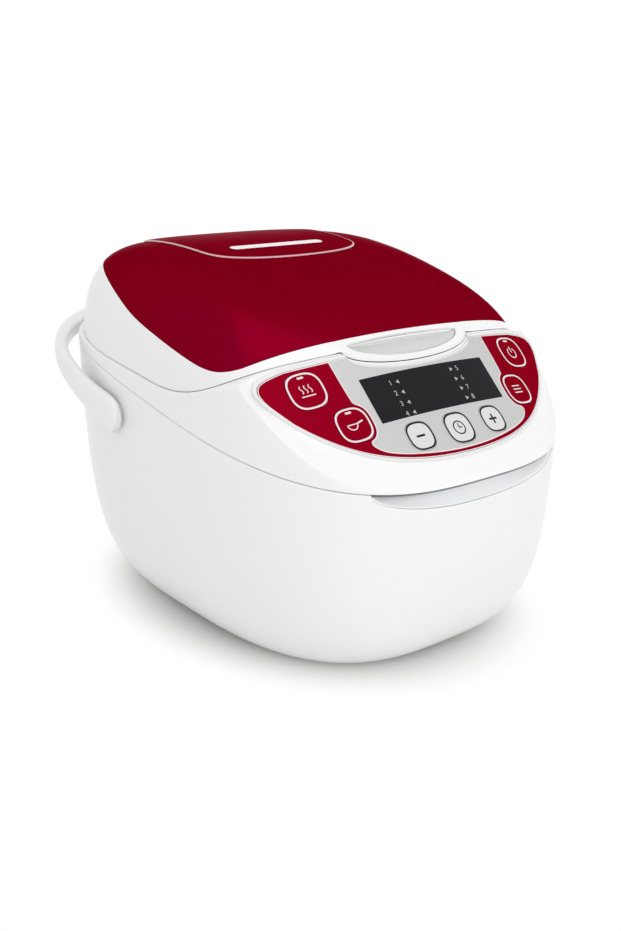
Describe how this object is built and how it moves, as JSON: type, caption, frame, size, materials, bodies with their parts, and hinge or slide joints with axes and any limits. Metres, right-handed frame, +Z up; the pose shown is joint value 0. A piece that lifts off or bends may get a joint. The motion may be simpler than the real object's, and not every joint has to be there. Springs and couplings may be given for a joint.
{
  "type": "multicooker",
  "caption": "Countertop multicooker: rounded body, hinged domed lid with a lift-off steam cap, sloping key panel with a display, and a swing carry handle folded to the rear.",
  "frame": {"origin": "on the table under the middle of the overall box, feet at z = 0", "axes": "+X to the right when facing the panel from the front, +Y to the back where the lid hinges, +Z up"},
  "size_m": [0.2944, 0.3778, 0.2595],
  "materials": {
    "white_shell": "gloss moulded",
    "grip_grey": "satin moulded",
    "base_grey": "fine texture",
    "foot_rubber": "matt",
    "steel": "bright",
    "trim_grey": "gloss",
    "panel_red": "gloss film",
    "panel_silver": "pearl film",
    "display_black": "gloss",
    "board_green": "laminate",
    "board_tan": "laminate",
    "black_plastic": "fine texture",
    "grey_plastic": "fine texture",
    "contact_brass": "bright",
    "bare_aluminium": "satin",
    "fuse_white": "matt",
    "pot_coating": "non-stick coating",
    "lid_red": "deep gloss",
    "lid_white": "satin",
    "silicone": "matt"
  },
  "bodies": {
    "base": {"outer_shell": "white_shell", "top_collar": "white_shell", "grip_cup": "grip_grey", "base_plate": "base_grey", "feet": "foot_rubber", "base_screws": "steel", "board_screws": "steel", "power_screws": "steel", "hinge_pin": "steel", "latch_catch": "steel", "heater_terminals": "steel", "sensor_spring": "steel", "hinge_spring": "steel", "sensor_bracket": "steel", "heater_ring": "steel", "panel_trim": "trim_grey", "panel_fascia": "panel_red", "panel_insert": "panel_silver", "display_window": "display_black", "control_board": "board_green", "power_board": "board_tan", "key_switches": "black_plastic", "display_module": "black_plastic", "power_parts": "black_plastic", "inlet_socket": "black_plastic", "hinge_lugs": "grey_plastic", "inlet_pins": "contact_brass", "inner_liner": "bare_aluminium", "heating_plate": "bare_aluminium", "heater_supports": "bare_aluminium", "thermal_fuse": "fuse_white", "cooking_pot": "pot_coating"},
    "lid": {"lid_shell": "white_shell", "lid_cover": "lid_red", "lid_tray": "lid_white", "lid_screws": "steel", "lid_hinge": "grey_plastic", "inner_lid": "bare_aluminium", "inner_gasket": "silicone", "inner_knob": "grey_plastic", "steam_seat": "grey_plastic", "steam_pipe": "lid_white", "pipe_seal": "silicone", "button_surround": "white_shell", "latch_bracket": "grey_plastic", "latch_pin": "steel", "button_springs": "steel"},
    "steam_cap": {"steam_cap": "lid_red"},
    "release_button": {"release_button": "panel_silver"},
    "latch_hook": {"latch_hook": "grey_plastic"},
    "handle": {"handle": "white_shell", "handle_clips": "base_grey"},
    "sensor_cap": {"sensor_cap": "bare_aluminium"},
    "keep_warm_key": {"keep_warm_key": "panel_red"},
    "fry_key": {"fry_key": "panel_red"},
    "minus_key": {"minus_key": "panel_silver"},
    "timer_key": {"timer_key": "panel_silver"},
    "plus_key": {"plus_key": "panel_silver"},
    "menu_key": {"menu_key": "panel_red"},
    "power_key": {"power_key": "panel_red"}
  },
  "joints": [
    {"name": "lid_swing", "type": "hinge", "parent": "base", "child": "lid", "pos_m": [0, 0.15861, 0.2065], "axis": [-1, 0, 0], "range_deg": [0, 85]},
    {"name": "cap_lift", "type": "slide", "parent": "lid", "child": "steam_cap", "axis": [0, 0, 1], "range_m": [0, 0.025]},
    {"name": "button_press", "type": "slide", "parent": "lid", "child": "release_button", "axis": [0, 0.5446, -0.8387], "range_m": [0, 0.0025], "stiffness_N_per_m": 600, "springref_m": -0.001, "deforming": ["button_springs"]},
    {"name": "latch_turn", "type": "hinge", "parent": "lid", "child": "latch_hook", "pos_m": [0, -0.10289, 0.20003], "axis": [1, 0, 0], "range_deg": [0, 13.1]},
    {"name": "handle_swing", "type": "hinge", "parent": "base", "child": "handle", "pos_m": [0, 0.03011, 0.15], "axis": [1, 0, 0], "range_deg": [0, 74]},
    {"name": "sensor_press", "type": "slide", "parent": "base", "child": "sensor_cap", "axis": [0, 0, -1], "range_m": [0, 0.002], "stiffness_N_per_m": 600, "springref_m": -0.002, "deforming": ["sensor_spring"]},
    {"name": "keep_warm_press", "type": "slide", "parent": "base", "child": "keep_warm_key", "axis": [0.155, 0.6986, -0.6986], "range_m": [0, 0.0008], "stiffness_N_per_m": 900, "springref_m": -0.0005},
    {"name": "fry_press", "type": "slide", "parent": "base", "child": "fry_key", "axis": [0.124, 0.7016, -0.7016], "range_m": [0, 0.0008], "stiffness_N_per_m": 900, "springref_m": -0.0005},
    {"name": "minus_press", "type": "slide", "parent": "base", "child": "minus_key", "axis": [0.055, 0.706, -0.706], "range_m": [0, 0.0008], "stiffness_N_per_m": 900, "springref_m": -0.0005},
    {"name": "timer_press", "type": "slide", "parent": "base", "child": "timer_key", "axis": [0, 0.7071, -0.7071], "range_m": [0, 0.0008], "stiffness_N_per_m": 900, "springref_m": -0.0005},
    {"name": "plus_press", "type": "slide", "parent": "base", "child": "plus_key", "axis": [-0.055, 0.706, -0.706], "range_m": [0, 0.0008], "stiffness_N_per_m": 900, "springref_m": -0.0005},
    {"name": "menu_press", "type": "slide", "parent": "base", "child": "menu_key", "axis": [-0.124, 0.7016, -0.7016], "range_m": [0, 0.0008], "stiffness_N_per_m": 900, "springref_m": -0.0005},
    {"name": "power_press", "type": "slide", "parent": "base", "child": "power_key", "axis": [-0.155, 0.6986, -0.6986], "range_m": [0, 0.0008], "stiffness_N_per_m": 900, "springref_m": -0.0005}
  ],
  "couplings": [
    {"joint": "latch_turn", "follows": "button_press", "rad_per_m": 90.909}
  ]
}
